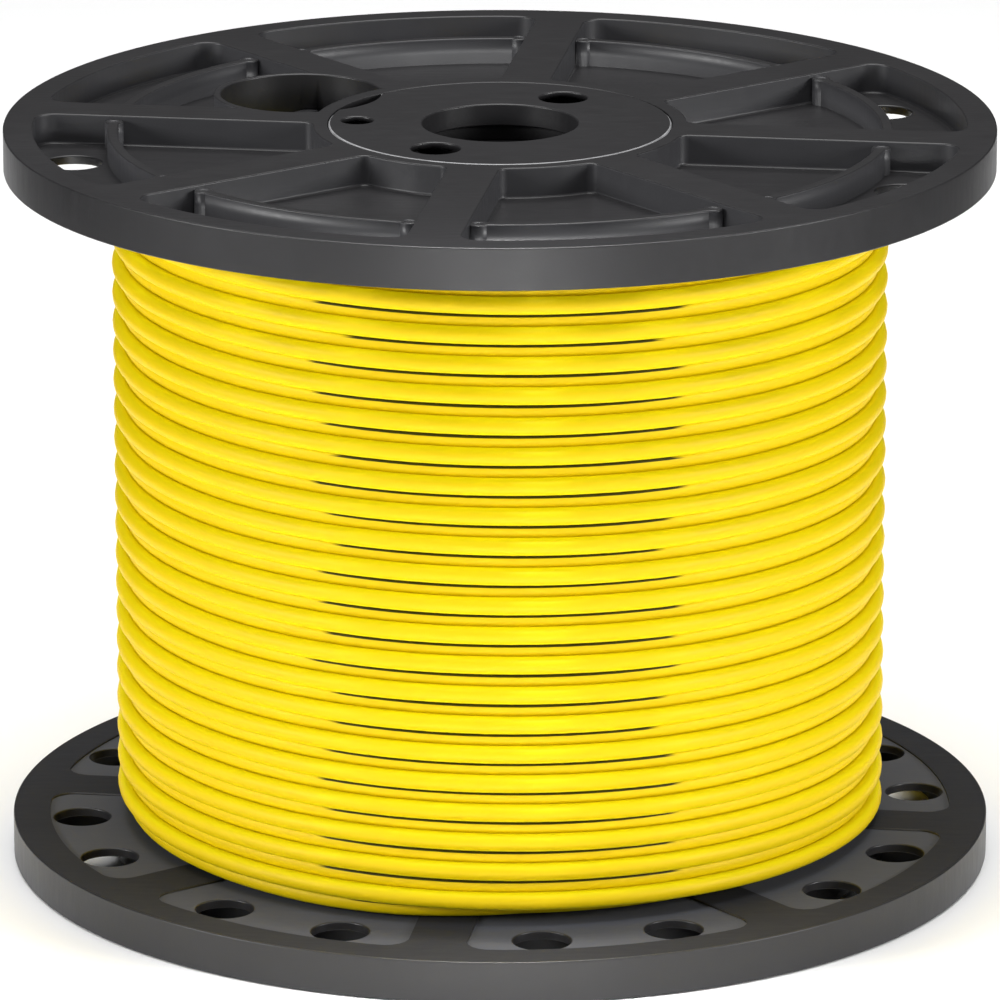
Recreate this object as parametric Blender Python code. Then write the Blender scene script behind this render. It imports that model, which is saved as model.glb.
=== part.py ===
"""A moulded plastic reel of insulated building wire, standing on its lower flange.

Two identical spoked flanges are clamped on a hollow barrel by four tie bolts, and a hub plate with
the arbor hole closes each end. The wire is wound on the barrel. Units are metres and +Z is up. The
origin is on the floor, on the reel's axis. Azimuths run from the front (-Y) towards +X.
"""

import math

import bmesh
import bpy
from mathutils import Vector

# Driving dimensions of the reel
FLANGE_RADIUS = 0.1524
RIM_HEIGHT = 0.013
TRAVERSE = 0.2064
OVERALL_HEIGHT = TRAVERSE + 2 * RIM_HEIGHT
GAP = 0.0003  # clearance between pieces that touch
PASS = 0.001  # how far a cutter passes the face that it opens

# Flange
RIM_INNER_RADIUS = 0.94 * FLANGE_RADIUS
POCKET_DEPTH = 0.0095
FLOOR_TOP = RIM_HEIGHT - POCKET_DEPTH
SPOKE_COUNT = 8
SPOKE_PHASE = math.radians(-8)
SPOKE_WIDTH = 0.0158
SECTOR = math.tau / SPOKE_COUNT
RIM_CORNER = 0.006
HUB_CORNER = 0.003

# Curved rib in each pocket, from spoke to spoke, with a small boss at both ends
RIB_RADIUS = 0.78 * FLANGE_RADIUS
RIB_THICKNESS = 0.0032
RIB_TOP = RIM_HEIGHT - 0.0012
BOSS_RADIUS = 0.0029
BOSS_INSET = 0.0024

# Tie holes, two in each sector
TIE_RADIUS = 0.0088
TIE_CIRCLE = 0.86 * FLANGE_RADIUS
TIE_SPREAD = math.radians(9)

# Start hole for the inner end of the wire, with a raised wall
START_AZIMUTH = math.radians(-122)
START_CIRCLE = 0.073
START_RADIUS = 0.025
START_WALL = 0.0021

# Hub
HUB_RADIUS = 0.0576
HUB_BORE = 0.053
LEDGE_BORE = 0.0505
PLATE_THICKNESS = 0.002
HUB_FLOOR = 0.0033
ARBOR_RADIUS = 0.024
COLLAR_RADIUS = 0.027
COLLAR_DEPTH = 0.007
DRIVE_RADIUS = 0.0076
DRIVE_CIRCLE = 0.038
DRIVE_AZIMUTHS = (math.radians(-31), math.radians(149))
PIN_RADIUS = 0.005
PIN_CIRCLE = 0.044
PIN_AZIMUTH = math.radians(-94)
HOLE_CLEARANCE = 0.0008

# Barrel and arbor tube
BARREL_RADIUS = 0.0889
BARREL_WALL = 0.0035
BARREL_SEAT = 0.0018
TUBE_OUTER = 0.031
TUBE_INNER = 0.0276
TUBE_SEAT = 0.001

# M6 tie bolts with nuts and washers
BOLT_CIRCLE = 0.0435
BOLT_AZIMUTHS = [SPOKE_PHASE + SECTOR + index * math.tau / 4 for index in range(4)]
BOLT_RADIUS = 0.003
BOLT_HOLE = 0.0033
HEX_ACROSS_FLATS = 0.010
HEAD_HEIGHT = 0.004
NUT_HEIGHT = 0.005
WASHER_RADIUS = 0.00625
WASHER_THICKNESS = 0.0012
BOLT_END = 0.0025

# Wire
WIRE_RADIUS = 0.0027
CORE_RADIUS = 0.0018
CORE_BORE = 0.0021
CORE_LENGTH = 0.008
WINDING_RADIUS = 0.1196
OUTER_LAYER_DEPTH = 0.0082
START_BEND = 0.022
START_LEAD = 0.013
START_ANGLES = (math.radians(41), math.radians(65))
TAIL_BEND = 0.016
TAIL_LEAD = 0.0024
TAIL_ANGLE = math.radians(70)
TAIL_TIP = 0.002
TAIL_SECTOR = 3

# Corners of the round pieces
RIM_SIDES = 96
RING_SIDES = 64
HUB_SIDES = 40
TUBE_SIDES = 32
HOLE_SIDES = 12
WIRE_SIDES = 12


def material(name, colour, roughness, metallic=0.0):
    made = bpy.data.materials.new(name)
    made.use_nodes = True
    shader = made.node_tree.nodes["Principled BSDF"]
    shader.inputs["Base Color"].default_value = (*colour, 1)
    shader.inputs["Roughness"].default_value = roughness
    shader.inputs["Metallic"].default_value = metallic
    made.diffuse_color = (*colour, 1)
    return made


def polar(radius, azimuth, z=0.0):
    return Vector((radius * math.sin(azimuth), -radius * math.cos(azimuth), z))


def arc(centre, radius, start, end, steps):
    """Points of an arc round a point, by azimuth, both ends included."""
    turn = (end - start) / steps
    return [centre + polar(radius, start + turn * step) for step in range(steps + 1)]


def circle(centre, radius, sides):
    return arc(centre, radius, 0, math.tau, sides)[:-1]


def mesh_of(bm, name):
    """The finished mesh of a bmesh, facing out, with its round walls smooth."""
    bmesh.ops.remove_doubles(bm, verts=bm.verts, dist=1e-7)
    bmesh.ops.recalc_face_normals(bm, faces=bm.faces)
    mesh = bpy.data.meshes.new(name)
    bm.to_mesh(mesh)
    bm.free()
    mesh.shade_smooth()
    mesh.set_sharp_from_angle(angle=math.radians(35))
    return mesh


def prisms(outlines, bottom, top, name):
    """A mesh with one upright prism for each outline."""
    bm = bmesh.new()
    for outline in outlines:
        base = bm.faces.new([bm.verts.new((point.x, point.y, bottom)) for point in outline])
        raised = bmesh.ops.extrude_face_region(bm, geom=[base], use_keep_orig=True)
        corners = [item for item in raised["geom"] if isinstance(item, bmesh.types.BMVert)]
        bmesh.ops.translate(bm, verts=corners, vec=(0, 0, top - bottom))
    return mesh_of(bm, name)


def turned(profile, sides, name):
    """A mesh turned round Z from (radius, height) points: a closed loop, or a line from axis to axis."""
    bm = bmesh.new()
    corners = [bm.verts.new((radius, 0, height)) for radius, height in profile]
    edges = [bm.edges.new(pair) for pair in zip(corners, corners[1:])]
    if profile[0][0] > 0:
        edges.append(bm.edges.new((corners[-1], corners[0])))
    bmesh.ops.spin(
        bm, geom=edges, axis=(0, 0, 1), cent=(0, 0, 0), angle=math.tau, steps=sides, use_merge=True
    )
    return mesh_of(bm, name)


def ring(inner, outer, bottom, top, sides, name):
    return turned([(inner, bottom), (outer, bottom), (outer, top), (inner, top)], sides, name)


def placed(name, mesh, finish, location=(0, 0, 0), rotation=(0, 0, 0)):
    """Adds a named object to the model, with its own copy of a finish."""
    piece = bpy.data.objects.new(name, mesh)
    bpy.context.scene.collection.objects.link(piece)
    mesh.materials.clear()
    mesh.materials.append(finish.copy())
    piece.location = location
    piece.rotation_euler = rotation


def combined(mesh, other, operation):
    """The mesh after a Boolean with another mesh."""
    target = bpy.data.objects.new("Target", mesh)
    cutter = bpy.data.objects.new("Cutter", other)
    cutter.hide_render = True
    cutter.display_type = "WIRE"
    for helper in (target, cutter):
        bpy.context.scene.collection.objects.link(helper)
    modifier = target.modifiers.new(operation.title(), "BOOLEAN")
    modifier.operation = operation
    modifier.solver = "EXACT"
    modifier.object = cutter
    graph = bpy.context.evaluated_depsgraph_get()
    result = bpy.data.meshes.new_from_object(target.evaluated_get(graph))
    result.name = mesh.name
    for helper in (target, cutter):
        bpy.data.objects.remove(helper)
    return result


def rounded(outline, radii, steps):
    """A closed outline with each corner rounded to its own radius."""
    points = []
    for index, corner in enumerate(outline):
        before = (outline[index - 1] - corner).normalized()
        after = (outline[(index + 1) % len(outline)] - corner).normalized()
        radius = radii[index]
        if radius == 0:
            points.append(corner)
            continue
        half = before.angle(after) / 2
        centre = corner + (before + after).normalized() * radius / math.sin(half)
        first = corner + before * radius / math.tan(half) - centre
        last = corner + after * radius / math.tan(half) - centre
        for step in range(steps + 1):
            points.append(centre + first.lerp(last, step / steps).normalized() * radius)
    return points


def pocket_outline(middle):
    """The outline of the pocket between two spokes: rim, spoke side, hub, spoke side."""
    outer = SECTOR / 2 - math.asin(SPOKE_WIDTH / 2 / RIM_INNER_RADIUS)
    inner = SECTOR / 2 - math.asin(SPOKE_WIDTH / 2 / HUB_RADIUS)
    origin = Vector()
    rim = arc(origin, RIM_INNER_RADIUS, middle - outer, middle + outer, 8)
    hub = arc(origin, HUB_RADIUS, middle + inner, middle - inner, 3)
    radii = [RIM_CORNER] + [0] * 7 + [RIM_CORNER] + [HUB_CORNER] + [0] * 2 + [HUB_CORNER]
    return rounded(rim + hub, radii, 3)


def rib_outline(middle):
    """The outline of a pocket's curved rib with its end bosses, which run into the spokes."""
    reach = SECTOR / 2 - math.asin((SPOKE_WIDTH / 2 + BOSS_INSET) / RIB_RADIUS)
    neck = math.asin(RIB_THICKNESS / 2 / BOSS_RADIUS)
    stop = reach - BOSS_RADIUS * math.cos(neck) / RIB_RADIUS
    origin = Vector()
    inner_face = RIB_RADIUS - RIB_THICKNESS / 2
    outer_face = RIB_RADIUS + RIB_THICKNESS / 2
    left = middle - reach
    right = middle + reach
    outside = arc(origin, outer_face, middle - stop, middle + stop, 6)
    inside = arc(origin, inner_face, middle + stop, middle - stop, 6)
    # A boss is met by the rib on one side, so its arc leaves out the neck there.
    quarter = math.tau / 4
    right_arc = (right - quarter + neck, right + 3 * quarter - neck)
    left_arc = (left + quarter + neck, left + 5 * quarter - neck)
    right_boss = arc(polar(RIB_RADIUS, right), BOSS_RADIUS, *right_arc, 8)
    left_boss = arc(polar(RIB_RADIUS, left), BOSS_RADIUS, *left_arc, 8)
    return outside + right_boss[1:-1] + inside + left_boss[1:-1]


def sector_middles():
    return [SPOKE_PHASE + SECTOR * (index + 0.5) for index in range(SPOKE_COUNT)]


def hub_recess():
    """What is cut from a flange's hub: bore, tube seat, bolt space, ledge and plate seat."""
    floor_hole = COLLAR_RADIUS + GAP
    boss_top = RIM_HEIGHT - COLLAR_DEPTH - GAP
    boss_radius = TUBE_OUTER + 2 * GAP
    ledge = RIM_HEIGHT - PLATE_THICKNESS - GAP
    profile = [
        (0, -PASS),
        (TUBE_OUTER + GAP, -PASS),
        (TUBE_OUTER + GAP, TUBE_SEAT),
        (floor_hole, TUBE_SEAT),
        (floor_hole, boss_top),
        (boss_radius, boss_top),
        (boss_radius, HUB_FLOOR),
        (LEDGE_BORE, HUB_FLOOR),
        (LEDGE_BORE, ledge),
        (HUB_BORE, ledge),
        (HUB_BORE, RIM_HEIGHT + PASS),
        (0, RIM_HEIGHT + PASS),
    ]
    return turned(profile, HUB_SIDES, "HubRecess")


def start_circle(radius):
    return circle(polar(START_CIRCLE, START_AZIMUTH), radius, TUBE_SIDES)


def start_hole():
    """The start hole's cutter, which leaves the hub's ring standing across it."""
    hole = prisms([start_circle(START_RADIUS)], -PASS, RIM_HEIGHT + PASS, "StartHole")
    bridge = ring(HUB_BORE, HUB_RADIUS, -2 * PASS, RIM_HEIGHT + 2 * PASS, HUB_SIDES, "Bridge")
    return combined(hole, bridge, "DIFFERENCE")


def start_wall():
    """The raised wall round the start hole, outside the hub."""
    outside = prisms([start_circle(START_RADIUS + START_WALL)], FLOOR_TOP - PASS, RIM_HEIGHT, "Wall")
    hub = prisms([circle(Vector(), HUB_RADIUS - PASS, HUB_SIDES)], -PASS, RIM_HEIGHT + PASS, "Hub")
    return combined(outside, hub, "DIFFERENCE")


def hub_holes(clearance):
    """Outlines of the drive holes and the pin hole."""
    centres = [(polar(DRIVE_CIRCLE, azimuth), DRIVE_RADIUS) for azimuth in DRIVE_AZIMUTHS]
    centres.append((polar(PIN_CIRCLE, PIN_AZIMUTH), PIN_RADIUS))
    return [circle(centre, radius + clearance, 16) for centre, radius in centres]


def flange_mesh():
    """A flange with its inner face at z = 0 and its pockets opening upwards."""
    flange = prisms([circle(Vector(), FLANGE_RADIUS, RIM_SIDES)], 0, RIM_HEIGHT, "Flange")
    middles = sector_middles()
    outlines = [pocket_outline(middle) for middle in middles]
    pockets = prisms(outlines, FLOOR_TOP, RIM_HEIGHT + PASS, "Pockets")
    flange = combined(flange, pockets, "DIFFERENCE")
    ribs = prisms([rib_outline(middle) for middle in middles], FLOOR_TOP - PASS, RIB_TOP, "Ribs")
    flange = combined(flange, ribs, "UNION")
    flange = combined(flange, start_wall(), "UNION")
    flange = combined(flange, hub_recess(), "DIFFERENCE")
    flange = combined(flange, start_hole(), "DIFFERENCE")
    ties = [middle + side * TIE_SPREAD for middle in middles for side in (-1, 1)]
    holes = [circle(polar(TIE_CIRCLE, azimuth), TIE_RADIUS, HOLE_SIDES) for azimuth in ties]
    holes += [circle(polar(BOLT_CIRCLE, azimuth), BOLT_HOLE, 8) for azimuth in BOLT_AZIMUTHS]
    holes += hub_holes(HOLE_CLEARANCE)
    flange = combined(flange, prisms(holes, -PASS, RIM_HEIGHT + PASS, "Holes"), "DIFFERENCE")
    groove_inner = BARREL_RADIUS - BARREL_WALL - GAP
    groove = ring(groove_inner, BARREL_RADIUS + GAP, -PASS, BARREL_SEAT, HUB_SIDES, "Groove")
    return combined(flange, groove, "DIFFERENCE")


def hub_plate_mesh():
    """A hub plate with its outer face at z = 0 and its collar pointing down."""
    profile = [
        (ARBOR_RADIUS, -COLLAR_DEPTH),
        (COLLAR_RADIUS, -COLLAR_DEPTH),
        (COLLAR_RADIUS, -PLATE_THICKNESS),
        (HUB_BORE - GAP, -PLATE_THICKNESS),
        (HUB_BORE - GAP, 0),
        (ARBOR_RADIUS, 0),
    ]
    plate = turned(profile, HUB_SIDES, "HubPlate")
    below = -COLLAR_DEPTH - PASS
    plate = combined(plate, prisms(hub_holes(0), below, PASS, "HubHoles"), "DIFFERENCE")
    bite = prisms([start_circle(START_RADIUS)], below, PASS, "Bite")
    return combined(plate, bite, "DIFFERENCE")


def hexagon():
    corner = HEX_ACROSS_FLATS / 2 / math.cos(math.tau / 12)
    return circle(Vector(), corner, 6)


def bolt_mesh(length):
    """A tie bolt with its head's underside at z = 0 and its shank pointing down."""
    shank = prisms([circle(Vector(), BOLT_RADIUS, 10)], -length, PASS, "TieBolt")
    return combined(shank, prisms([hexagon()], 0, HEAD_HEIGHT, "Head"), "UNION")


def nut_mesh():
    nut = prisms([hexagon()], 0, NUT_HEIGHT, "TieNut")
    hole = prisms([circle(Vector(), BOLT_HOLE, 8)], -PASS, NUT_HEIGHT + PASS, "NutHole")
    return combined(nut, hole, "DIFFERENCE")


def dip(point, heading, bend, first, last, steps):
    """Points of a bend that starts level at a point and turns down to the last angle."""
    angles = [first + (last - first) * step / steps for step in range(steps + 1)]
    down = Vector((0, 0, -bend))
    return [point + heading * bend * math.sin(angle) + down * (1 - math.cos(angle)) for angle in angles]


def swept(stations, heading, name):
    """A mesh through (point, tangent, radius) stations whose bends are upright, closed at both ends."""
    across = heading.cross(Vector((0, 0, 1)))
    bm = bmesh.new()
    rings = []
    for point, tangent, radius in stations:
        up = across.cross(tangent).normalized()
        angles = [math.tau * side / WIRE_SIDES for side in range(WIRE_SIDES)]
        corners = [point + radius * (across * math.cos(turn) + up * math.sin(turn)) for turn in angles]
        rings.append([bm.verts.new(corner) for corner in corners])
    for lower, upper in zip(rings, rings[1:]):
        for side in range(WIRE_SIDES):
            after = (side + 1) % WIRE_SIDES
            bm.faces.new((lower[side], lower[after], upper[after], upper[side]))
    bm.faces.new(rings[0])
    bm.faces.new(rings[-1][::-1])
    return mesh_of(bm, name)


def wire_end(path, heading, name):
    """A wire's cut end, as the insulation with a bore at its tip and the conductor in the bore."""
    tangents = [(after - before).normalized() for before, after in zip(path, path[1:])]
    tangents.append(tangents[-1])
    bored = [index for index, point in enumerate(path) if (path[-1] - point).length <= CORE_LENGTH]
    outside = [(path[index], tangents[index], WIRE_RADIUS) for index in range(len(path))]
    inside = [(path[index], tangents[index], CORE_BORE) for index in reversed(bored)]
    jacket = swept(outside + inside, heading, name)
    core = [(path[index], tangents[index], CORE_RADIUS) for index in bored]
    first = core[0]
    core[0] = (first[0] + first[1] * GAP, first[1], first[2])
    return jacket, swept(core, heading, name + "Core")


def build():
    for item in list(bpy.data.objects):
        bpy.data.objects.remove(item)
    black = material("BlackPlastic", (0.047, 0.047, 0.053), 0.42)
    dark = material("BarrelPlastic", (0.035, 0.035, 0.038), 0.5)
    steel = material("ZincSteel", (0.6, 0.6, 0.58), 0.35, 1.0)
    yellow = material("YellowInsulation", (0.93, 0.68, 0.0), 0.35)
    copper = material("Copper", (0.8, 0.4, 0.25), 0.3, 1.0)

    # The lower flange is the same moulding turned over, with its spokes under the upper one's.
    turned_over = (0, math.pi, 2 * SPOKE_PHASE)
    top_face = OVERALL_HEIGHT - RIM_HEIGHT
    placed("top_flange", flange_mesh(), black, (0, 0, top_face))
    placed("bottom_flange", flange_mesh(), black, (0, 0, RIM_HEIGHT), turned_over)
    placed("top_hub_plate", hub_plate_mesh(), black, (0, 0, OVERALL_HEIGHT))
    placed("bottom_hub_plate", hub_plate_mesh(), black, (0, 0, 0), turned_over)

    barrel_inner = BARREL_RADIUS - BARREL_WALL
    barrel_end = RIM_HEIGHT - BARREL_SEAT + GAP
    barrel_top = OVERALL_HEIGHT - barrel_end
    placed("barrel", ring(barrel_inner, BARREL_RADIUS, barrel_end, barrel_top, RING_SIDES, "Barrel"), dark)
    tube_end = RIM_HEIGHT - TUBE_SEAT + GAP
    tube_top = OVERALL_HEIGHT - tube_end
    placed("arbor_tube", ring(TUBE_INNER, TUBE_OUTER, tube_end, tube_top, TUBE_SIDES, "ArborTube"), dark)

    # Tie bolts: head and washer on the upper hub floor, washer and nut on the lower one.
    lower_floor = RIM_HEIGHT - HUB_FLOOR
    upper_floor = OVERALL_HEIGHT - lower_floor
    head_seat = upper_floor + WASHER_THICKNESS + 2 * GAP
    nut_top = lower_floor - WASHER_THICKNESS - 2 * GAP
    for number, azimuth in enumerate(BOLT_AZIMUTHS, start=1):
        across = polar(BOLT_CIRCLE, azimuth)
        bolt = bolt_mesh(head_seat - BOLT_END)
        placed(f"tie_bolt_{number}", bolt, steel, across + Vector((0, 0, head_seat)))
        placed(f"tie_nut_{number}", nut_mesh(), steel, across + Vector((0, 0, nut_top - NUT_HEIGHT)))
        seats = {"head": upper_floor + GAP, "nut": lower_floor - GAP - WASHER_THICKNESS}
        for end, seat in seats.items():
            washer = ring(BOLT_HOLE, WASHER_RADIUS, 0, WASHER_THICKNESS, HOLE_SIDES, "Washer")
            placed(f"{end}_washer_{number}", washer, steel, across + Vector((0, 0, seat)))

    # The winding, as one ring for the inner layers and one for the outer layer
    winding_bottom = RIM_HEIGHT + GAP
    winding_top = OVERALL_HEIGHT - winding_bottom
    layer_inside = WINDING_RADIUS - OUTER_LAYER_DEPTH
    span = (winding_bottom, winding_top)
    inner = ring(BARREL_RADIUS + GAP, layer_inside - GAP, *span, RING_SIDES, "InnerLayers")
    placed("wire_inner_layers", inner, yellow)
    placed("wire_outer_layer", ring(layer_inside, WINDING_RADIUS, *span, RIM_SIDES, "OuterLayer"), yellow)

    wire_level = winding_bottom + WIRE_RADIUS

    # The start end leaves the first turn on the barrel and dips into the lower flange's start hole.
    hole = 2 * SPOKE_PHASE - START_AZIMUTH
    heading = -polar(1, hole + math.tau / 4)
    bend_start = polar(BARREL_RADIUS + GAP + WIRE_RADIUS, hole, wire_level) - heading * START_LEAD
    path = dip(bend_start, heading, START_BEND, *START_ANGLES, 6)
    jacket, core = wire_end(path, heading, "StartEnd")
    placed("wire_start_end", jacket, yellow)
    placed("wire_start_core", core, copper)

    # The outer end leaves the last turn at a tangent and dips into a tie hole at the back.
    hole = 2 * SPOKE_PHASE - (sector_middles()[TAIL_SECTOR] + TIE_SPREAD)
    turn_radius = WINDING_RADIUS - WIRE_RADIUS
    leave = hole - math.acos(turn_radius / TIE_CIRCLE)
    heading = polar(1, leave + math.tau / 4)
    leave_point = polar(turn_radius, leave, wire_level)
    clear_radius = WINDING_RADIUS + WIRE_RADIUS + GAP
    clear_run = math.sqrt(clear_radius**2 - turn_radius**2)
    hole_run = math.sqrt(TIE_CIRCLE**2 - turn_radius**2)
    bend_run = hole_run - TIE_RADIUS - TAIL_LEAD
    path = [leave_point + heading * (clear_run + (bend_run - clear_run) * step / 3) for step in range(3)]
    path += dip(leave_point + heading * bend_run, heading, TAIL_BEND, 0, TAIL_ANGLE, 9)
    path.append(path[-1] + (path[-1] - path[-2]).normalized() * TAIL_TIP)
    jacket, core = wire_end(path, heading, "OuterEnd")
    placed("wire_outer_end", jacket, yellow)
    placed("wire_outer_core", core, copper)


build()
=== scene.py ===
"""The looks of the wire reel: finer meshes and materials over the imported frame, in a pale studio.

Units are metres and +Z is up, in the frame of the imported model. Azimuths run from the front (-Y)
towards +X. Every piece rides on the one rigid body, root.
"""

import math

import bmesh
import bpy
import numpy as np
from mathutils import Euler, Matrix, Vector


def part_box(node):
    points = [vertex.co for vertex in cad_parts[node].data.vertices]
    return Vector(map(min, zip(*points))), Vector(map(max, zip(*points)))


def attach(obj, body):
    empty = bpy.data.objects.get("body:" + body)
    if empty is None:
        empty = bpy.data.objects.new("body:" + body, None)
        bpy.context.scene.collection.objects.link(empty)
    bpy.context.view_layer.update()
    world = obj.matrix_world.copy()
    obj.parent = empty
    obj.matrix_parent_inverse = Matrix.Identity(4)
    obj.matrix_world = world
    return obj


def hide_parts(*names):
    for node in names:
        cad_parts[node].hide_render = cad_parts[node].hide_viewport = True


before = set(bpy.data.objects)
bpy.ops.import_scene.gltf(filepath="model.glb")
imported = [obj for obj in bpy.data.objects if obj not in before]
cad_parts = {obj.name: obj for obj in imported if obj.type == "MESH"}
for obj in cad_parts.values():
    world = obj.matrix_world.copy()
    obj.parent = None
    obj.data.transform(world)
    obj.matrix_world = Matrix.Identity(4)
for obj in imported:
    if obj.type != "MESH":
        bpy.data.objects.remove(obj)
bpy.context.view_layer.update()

# Sizes read from the frame
flange_low, flange_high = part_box("top_flange")
FLANGE_RADIUS = flange_high.x
OVERALL_HEIGHT = flange_high.z
RIM_HEIGHT = flange_high.z - flange_low.z
BARREL_LOW, BARREL_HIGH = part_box("barrel")
BARREL_RADIUS = BARREL_HIGH.x
TUBE_LOW, TUBE_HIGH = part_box("arbor_tube")
TUBE_OUTER = TUBE_HIGH.x
WINDING_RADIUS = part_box("wire_outer_layer")[1].x

# Clearances, and the small edge rounds of the mouldings
GAP = 0.0003
PASS = 0.001  # how far a cutter passes the face that it opens
FLARE_PASS = 0.0002  # the same, where the cutter leaves a rounded mouth
EDGE = 0.0005
FILLET = 0.0009

# Limits below which points are one point, slivers are dropped, and a face counts as on a plane
WELD = 1e-7
SPECK = 2e-6
TOUCH = 1e-5

# Upward or downward part of the normal: a level face has more, an upright one less, and a
# hub plate's chamfer lies between
LEVEL = 0.9
UPRIGHT = 0.5
CHAMFER = (0.4, 0.95)

# A corner of an offset outline moves at most the distance divided by this
MITRE_LIMIT = 0.5

# Flange, as in the part
RIM_INNER_RADIUS = 0.94 * FLANGE_RADIUS
POCKET_DEPTH = 0.0095
FLOOR_TOP = RIM_HEIGHT - POCKET_DEPTH
SPOKE_COUNT = 8
SPOKE_PHASE = math.radians(-8)
SPOKE_WIDTH = 0.0158
SECTOR = math.tau / SPOKE_COUNT
RIM_CORNER = 0.006
HUB_CORNER = 0.003
RIB_RADIUS = 0.78 * FLANGE_RADIUS
RIB_THICKNESS = 0.0032
RIB_TOP = RIM_HEIGHT - 0.0012
BOSS_RADIUS = 0.0029
BOSS_INSET = 0.0024
DIMPLE_RADIUS = 0.0015
DIMPLE_DEPTH = 0.0004
DIMPLE_FLARE = 0.0002
TIE_RADIUS = 0.0088
TIE_CIRCLE = 0.86 * FLANGE_RADIUS
TIE_SPREAD = math.radians(9)
START_AZIMUTH = math.radians(-122)
START_CIRCLE = 0.073
START_RADIUS = 0.025
START_WALL = 0.0021
HUB_RADIUS = 0.0576
HUB_BORE = 0.053
LEDGE_BORE = 0.0505
PLATE_THICKNESS = 0.002
HUB_FLOOR = 0.0033
ARBOR_RADIUS = 0.024
COLLAR_RADIUS = 0.027
COLLAR_DEPTH = 0.007
DRIVE_RADIUS = 0.0076
DRIVE_CIRCLE = 0.038
DRIVE_AZIMUTHS = (math.radians(-31), math.radians(149))
PIN_RADIUS = 0.005
PIN_CIRCLE = 0.044
PIN_AZIMUTH = math.radians(-94)
HOLE_CLEARANCE = 0.0008
BARREL_WALL = 0.0035
BARREL_SEAT = 0.0018
TUBE_INNER = 0.0276
TUBE_SEAT = 0.001
BOLT_CIRCLE = 0.0435
BOLT_AZIMUTHS = [SPOKE_PHASE + SECTOR + index * math.tau / 4 for index in range(4)]
BOLT_HOLE = 0.0033

# Shallow panels in a flange's inner face, one in each sector
PANEL_DEPTH = 0.0007
PANEL_INSIDE = 0.1
PANEL_OUTSIDE = 0.925 * FLANGE_RADIUS
PANEL_MARGIN = 0.0088
PANEL_CORNER = 0.007

# Wire
WIRE_RADIUS = 0.0027
CORE_RADIUS = 0.0018
CORE_BORE = 0.0021
CORE_LENGTH = 0.008
STRAND_RADIUS = CORE_RADIUS / 5
STRAND_SLACK = 0.96  # keeps neighbouring strands just apart
STRAND_LAY = 0.04
STRAND_RINGS = [  # radius of each ring of strands, their number, and the first one's angle
    (0, 1, 0),
    (2 * STRAND_RADIUS, 6, 0),
    (3.9 * STRAND_RADIUS, 12, math.radians(15)),
]
ROW_PITCH = 0.00928  # from a proud turn to the next, with a sunk one between them
PROUD_RADIUS = WINDING_RADIUS - WIRE_RADIUS
SUNK_RADIUS = PROUD_RADIUS - 0.0028
PAIR_SINK = 0.0005
PAIR_SHIFT = 0.00037
PARTED_HALF = 27  # degrees from the front or back, on average, over which the rows have parted
PARTED_BLUR = 0.1  # radians to either side of that over which they part
SLOW_WAVER = 0.00007
QUICK_WAVER = 0.00005
DIVE_RADIUS = 0.1045  # where a strand's ends slip under the other turns
DIVE_TURNS = 0.12
INNER_LAYERS = 5
INNER_SPACING = 0.00405
START_BEND = 0.022
START_LEAD = 0.013
START_ANGLE = math.radians(65)
TAIL_BEND = 0.016
TAIL_LEAD = 0.0024
TAIL_ANGLE = math.radians(70)
TAIL_TIP = 0.002
TAIL_SECTOR = 3
WIRE_LEVEL = RIM_HEIGHT + GAP + WIRE_RADIUS
WIRE_TOP = OVERALL_HEIGHT - WIRE_LEVEL

# Corners of the round pieces, and steps along arcs and turns
RIM_SIDES = 256
RING_SIDES = 192
HUB_SIDES = 128
HOLE_SIDES = 32
SMALL_SIDES = 16
WIRE_SIDES = 16
STRAND_SIDES = 10
RIM_STEPS = 24
RIB_STEPS = 20
HUB_STEPS = 10
PANEL_STEPS = 16
CORNER_STEPS = 6
EDGE_STEPS = 3
BEAD_STEPS = 6
BEAD_ANGLE = math.radians(25)
START_STEPS = 32
TAIL_STEPS = 24
RUN_STEPS = 8
TURN_STEPS = 96

# Shading: angles above which an edge is sharp, in degrees, and the weight of large flat faces
SHARP = 35
SHARP_STRANDS = 50
SHARP_TURNS = 60
FLAT_WEIGHT = 90

# Moulded plastics: darkest and lightest colour, roughness, height of the grain, and IOR
PLASTICS = {
    "ReelPlastic": ((0.014, 0.0135, 0.0145), (0.02, 0.0195, 0.021), 0.38, 0.00002, 1.5),
    "PanelPlastic": ((0.07, 0.073, 0.088), (0.08, 0.084, 0.1), 0.75, 0.00004, 1.25),
    "FacePlastic": ((0.022, 0.023, 0.028), (0.028, 0.029, 0.035), 0.75, 0.00003, 1.25),
    # Painted light: a paler copy of the reel's plastic on the upright walls of pockets and ribs,
    # standing in for light on them
    "WallPlasticPaintedLight": ((0.036, 0.036, 0.039), (0.045, 0.045, 0.049), 0.42, 0.00002, 1.5),
    "BarrelPlastic": ((0.022, 0.022, 0.024), (0.03, 0.03, 0.033), 0.52, 0.00004, 1.5),
}

# How far rubbing lowers a plastic's roughness, and scuffs raise it
RUBBED = 0.07
SCUFFED = 0.1

# Insulation with painted shading, from the flank of a turn (painted lighter) to its crest (painted
# deeper), and the painted shade between parted rows
INSULATION_PAINTED_SHADE_STOPS = [
    (0.05, (0.88, 0.77, 0.0)),
    (0.5, (0.84, 0.71, 0.001)),
    (0.8, (0.8, 0.61, 0.0)),
    (0.97, (0.79, 0.56, 0.0)),
]
# Painted shade: a dark colour on the sunk strand's upper side, under each proud row, stands in for
# that row's shadow
PAINTED_SHADE_COLOUR = (0.035, 0.03, 0.002, 1)
PAINTED_SHADE_RISE = (0.35, 0.43)  # upward part of the normal, from bright to dark
PAINTED_SHADE_REACH = (0.885, 0.905)  # how far a point faces the front or back, from bright to dark
PAINTED_SHADE_JITTER = 0.11  # how much that reach differs from row to row
ROW_CELLS = 90  # cells per metre of height

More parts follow.
